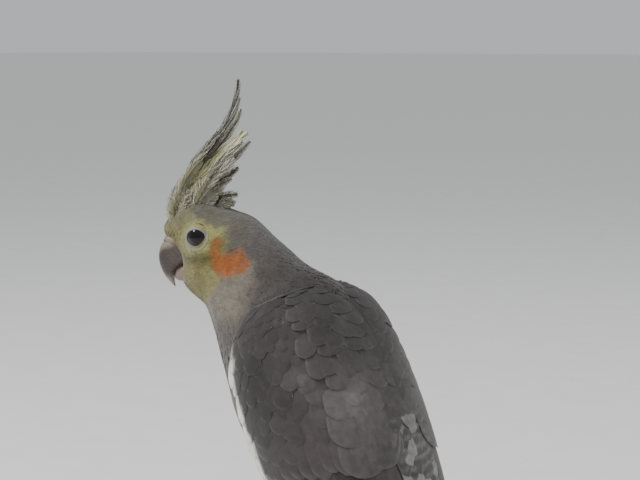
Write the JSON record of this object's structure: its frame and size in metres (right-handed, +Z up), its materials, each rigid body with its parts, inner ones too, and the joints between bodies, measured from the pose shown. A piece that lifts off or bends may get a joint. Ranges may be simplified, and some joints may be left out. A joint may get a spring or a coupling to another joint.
{
  "type": "cockatiel model",
  "caption": "Life-size still model of a grey cockatiel with raised crest, long folded wings and long tail, gripping a short round perch on a plain display stand.",
  "frame": {"origin": "centre of the underside of the display stand's round base", "axes": "+Z up; the bird's body faces -X and its left side faces -Y; the perch runs along Y straight over the origin"},
  "size_m": [0.1684, 0.12, 0.333],
  "materials": {
    "plumage_body": "soft matt feathers",
    "plumage_head": "soft matt feathers",
    "plumage_wing": "soft matt feathers with a faint sheen",
    "plumage_tail": "soft matt feathers with a faint sheen",
    "bill": "satin horn",
    "eye": "wet gloss",
    "feet": "scaly matt skin",
    "claw": "satin horn",
    "perch": "satin white plastic",
    "stand": "matt pale paint",
    "stand_rod": "matt pale paint"
  },
  "bodies": {
    "root": {"torso": "plumage_body", "neck": "plumage_body", "head": "plumage_head", "tail": "plumage_tail", "beak_upper": "bill", "beak_lower": "bill", "eye_left": "eye", "wing_left": "plumage_wing", "leg_left": "plumage_body", "foot_left": "feet", "claw_left_front_inner": "claw", "claw_left_front_outer": "claw", "claw_left_back_inner": "claw", "claw_left_back_outer": "claw", "eye_right": "eye", "wing_right": "plumage_wing", "leg_right": "plumage_body", "foot_right": "feet", "claw_right_front_inner": "claw", "claw_right_front_outer": "claw", "claw_right_back_inner": "claw", "claw_right_back_outer": "claw", "perch": "perch", "stand_base": "stand", "stand_rod_left": "stand_rod", "stand_rod_right": "stand_rod"}
  },
  "joints": []
}
